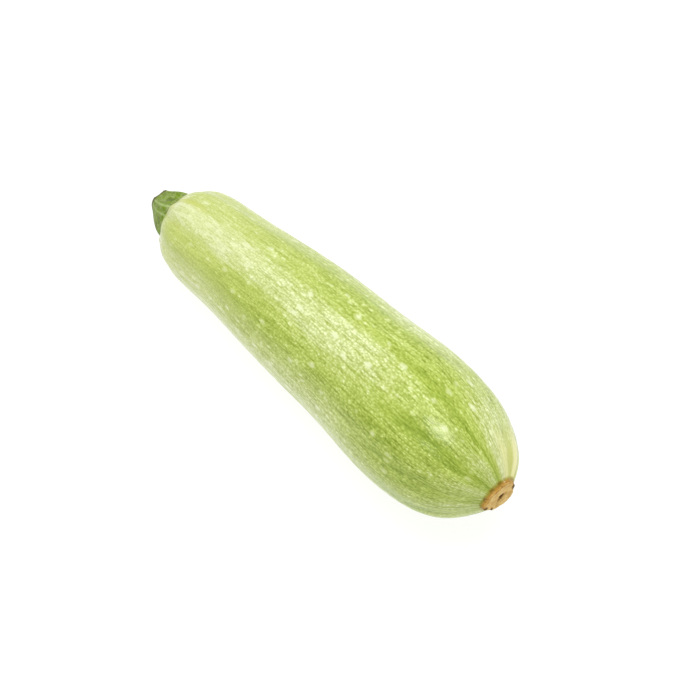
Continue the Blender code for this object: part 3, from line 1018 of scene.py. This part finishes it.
class ZUCCHINI_OT_scar(bpy.types.Operator):
    """Builds the corky plate that the flower left"""

    bl_idname = "zucchini.scar"
    bl_label = "Zucchini Blossom Scar"

    def execute(self, context):
        look = context.scene.zucchini_scar
        section = [(height, share * SCAR_MEAN_RADIUS / MM) for share, height in SCAR_SECTION]
        section = smooth_curve(section, np.linspace(0, 1, look.rings + 1))
        section[-1, 1] = 0.0
        profile = SCAR_BACK + [tuple(p) for p in section]
        profile = [(FRUIT_LENGTH + h * MM, r * MM) for h, r in profile]
        mesh, along, angle, distance, radius = spin_profile("blossom_plate", profile, look.sides)
        share = radius / SCAR_MEAN_RADIUS
        rise = np.clip((distance - FRUIT_LENGTH) / SCAR_FOOT_HEIGHT, 0, 1)
        fibre_place = cylinder(radius * SCAR_FIBRE_SQUEEZE, SCAR_FIBRE_RADIUS, angle)
        outline = scar_radius(angle)
        ragged = look.raggedness * rough(fibre_place, SCAR_RAG_SIZE, 3) * np.clip(rise * 2 - 1, 0, 1)
        outline = SCAR_FOOT_RADIUS + (outline * (1 + ragged * share**2) - SCAR_FOOT_RADIUS) * rise
        shift = np.clip(1 - share, 0, None) ** 2
        side = share * outline * np.sin(angle) + shift * SCAR_PIT_SIDE
        above = share * outline * np.cos(angle) + shift * SCAR_PIT_ABOVE
        off_side, off_above = side - SCAR_DISH_SIDE, above - SCAR_DISH_ABOVE
        lengthwise = off_side * math.sin(SCAR_DISH_ANGLE) + off_above * math.cos(SCAR_DISH_ANGLE)
        crosswise = off_side * math.cos(SCAR_DISH_ANGLE) - off_above * math.sin(SCAR_DISH_ANGLE)
        dish = np.exp(-((lengthwise / SCAR_DISH_LENGTH) ** 2) - (crosswise / SCAR_DISH_WIDTH) ** 2)
        distance = distance - look.dish_depth * dish * (rise == 1)
        places = on_core(distance, np.arctan2(side, above), np.hypot(side, above))
        places[:, 0] += rise * look.face_roughness * rough(fibre_place, SCAR_GRAIN_SIZE, 3)
        tip = sum(np.exp(-(((angle - math.radians(at)) / half_width) ** 2)) for at, half_width in SCAR_TIPS)
        attributes = {"share": share, "rise": rise, "tip": tip, "dish": dish, "fibre_place": fibre_place}
        dress("blossom_plate", mesh, places, "blossom_scar", scar_finish(look), attributes)
        return {"FINISHED"}


def add_softbox(name, power, size, place, aim):
    """Adds a rectangular light that faces a point."""
    light = bpy.data.lights.new(name, "AREA")
    light.shape = "RECTANGLE"
    light.size, light.size_y = size
    light.energy = power
    obj = bpy.data.objects.new(name, light)
    obj.location = place
    obj.rotation_euler = (Vector(aim) - Vector(place)).to_track_quat("-Z", "Y").to_euler()
    bpy.context.scene.collection.objects.link(obj)
    return obj


class ZUCCHINI_OT_stage(bpy.types.Operator):
    """Adds the camera, the pale floor and the soft studio light"""

    bl_idname = "zucchini.stage"
    bl_label = "Zucchini Stage"

    def execute(self, context):
        look = context.scene.zucchini_stage
        self.add_camera(context, look)
        self.add_floor(context, look)
        self.add_lights(context, look)
        context.scene.view_settings.view_transform = "Standard"
        return {"FINISHED"}

    def add_camera(self, context, look):
        data = bpy.data.cameras.new("camera")
        data.lens = look.lens
        data.sensor_width = SENSOR_WIDTH
        data.clip_start = CLIP_START
        camera = bpy.data.objects.new("camera", data)
        a, e = look.camera_azimuth, look.camera_elevation
        back = Vector((math.sin(a) * math.cos(e), -math.cos(a) * math.cos(e), math.sin(e)))
        camera.location = Vector(CAMERA_AIM) + look.camera_distance * back
        camera.rotation_euler = back.to_track_quat("Z", "Y").to_euler()
        context.scene.collection.objects.link(camera)
        context.scene.camera = camera

    def add_floor(self, context, look):
        bm = bmesh.new()
        bmesh.ops.create_circle(bm, cap_ends=True, segments=FLOOR_SIDES, radius=FLOOR_RADIUS)
        mesh = bpy.data.meshes.new("floor")
        bm.to_mesh(mesh)
        bm.free()
        paper = Recipe("pale_floor", {
            "Roughness": 0.9, "Specular IOR Level": 0.1,
            "Emission Color": (1, 1, 1), "Emission Strength": look.floor_glow})
        mesh.materials.append(paper.finish(look.floor))
        floor = bpy.data.objects.new("floor", mesh)
        context.scene.collection.objects.link(floor)

    def add_lights(self, context, look):
        world = bpy.data.worlds.new("even_white")
        world.use_nodes = True
        sky = world.node_tree.nodes["Background"]
        sky.inputs["Color"].default_value = (1, 1, 1, 1)
        sky.inputs["Strength"].default_value = look.sky_strength
        context.scene.world = world
        key = add_softbox("key_softbox", look.key_power, *KEY_SOFTBOX)
        key.visible_glossy = False
        gleam = add_softbox("gleam_softbox", look.gleam_power, *GLEAM_SOFTBOX)
        gleam.visible_diffuse = False
        add_softbox("back_softbox", look.back_power, *BACK_SOFTBOX)


class ZUCCHINI_PT_sidebar(bpy.types.Panel):
    """Lists each piece with its button and its settings"""

    bl_label = "Zucchini"
    bl_idname = "ZUCCHINI_PT_sidebar"
    bl_space_type = "VIEW_3D"
    bl_region_type = "UI"
    bl_category = "Zucchini"

    def draw(self, context):
        for operator, settings in PIECES:
            box = self.layout.box()
            box.operator(operator.bl_idname)
            values = getattr(context.scene, settings)
            for name in values.bl_rna.properties.keys():
                if name not in ("rna_type", "name"):
                    box.prop(values, name)


PIECES = [
    (ZUCCHINI_OT_fruit, "zucchini_fruit"),
    (ZUCCHINI_OT_stem, "zucchini_stem"),
    (ZUCCHINI_OT_scar, "zucchini_scar"),
    (ZUCCHINI_OT_stage, "zucchini_stage"),
]
SETTINGS = {
    "zucchini_fruit": ZucchiniFruitSettings,
    "zucchini_stem": ZucchiniStemSettings,
    "zucchini_scar": ZucchiniScarSettings,
    "zucchini_stage": ZucchiniStageSettings,
}


def register():
    for name, group in SETTINGS.items():
        bpy.utils.register_class(group)
        setattr(bpy.types.Scene, name, PointerProperty(type=group))
    for operator, _ in PIECES:
        bpy.utils.register_class(operator)
    bpy.utils.register_class(ZUCCHINI_PT_sidebar)


def unregister():
    bpy.utils.unregister_class(ZUCCHINI_PT_sidebar)
    for operator, _ in reversed(PIECES):
        bpy.utils.unregister_class(operator)
    for name, group in reversed(SETTINGS.items()):
        delattr(bpy.types.Scene, name)
        bpy.utils.unregister_class(group)


def main():
    register()
    bpy.ops.zucchini.stage()
    bpy.ops.zucchini.fruit()
    bpy.ops.zucchini.stem()
    bpy.ops.zucchini.scar()


if __name__ == "__main__":
    main()
